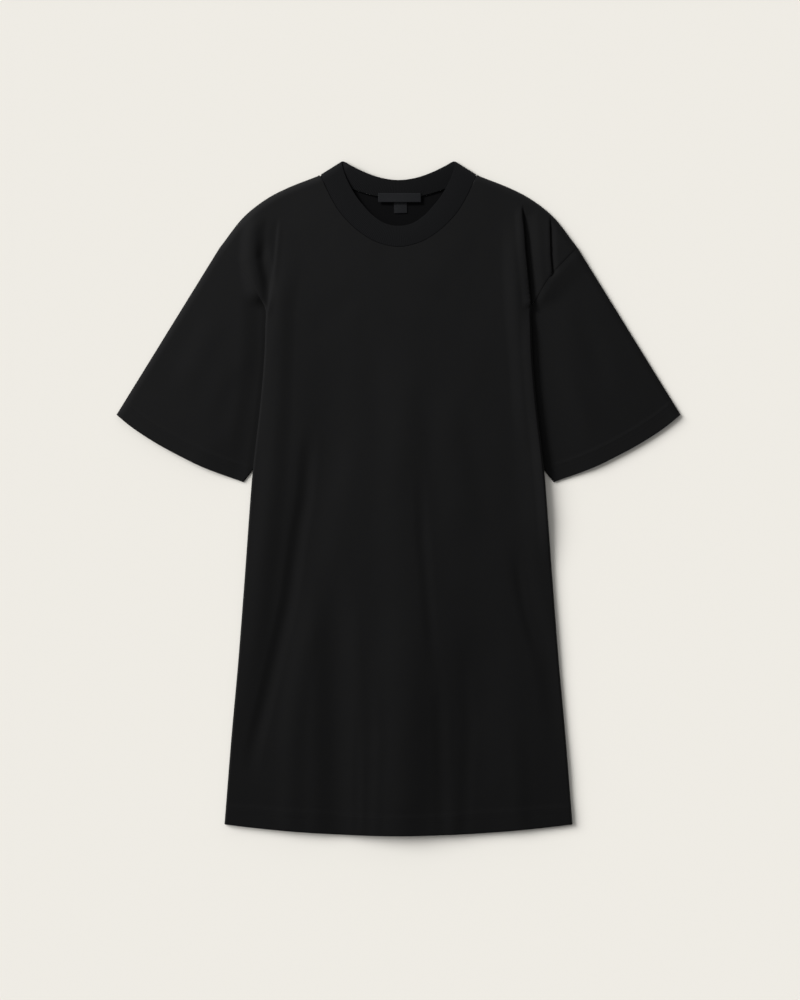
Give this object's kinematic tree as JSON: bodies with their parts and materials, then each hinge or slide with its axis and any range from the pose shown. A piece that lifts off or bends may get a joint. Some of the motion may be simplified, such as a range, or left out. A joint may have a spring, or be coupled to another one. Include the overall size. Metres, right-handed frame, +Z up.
{
  "type": "t-shirt dress",
  "caption": "Plain t-shirt dress in heavy jersey, laid flat with the front up: ribbed crew neckband, dropped shoulders, wide elbow-length sleeves and a straight hem",
  "frame": {"origin": "on the surface that the dress lies on, under the middle of its outline", "axes": "+Z up from the surface, out of the front of the dress; +Y towards the neck; +X to the right as seen from above"},
  "size_m": [0.7386, 0.8837, 0.0183],
  "materials": {
    "jersey": "matte heavy cotton jersey with a faint sheen",
    "rib": "matte fine rib knit",
    "woven_label": "smooth satin-woven tape"
  },
  "bodies": {
    "root": {"front_panel": "jersey", "back_panel": "jersey", "sleeve_left": "jersey", "sleeve_right": "jersey", "neckband": "rib", "neck_label": "woven_label", "size_tab": "woven_label"}
  },
  "joints": []
}
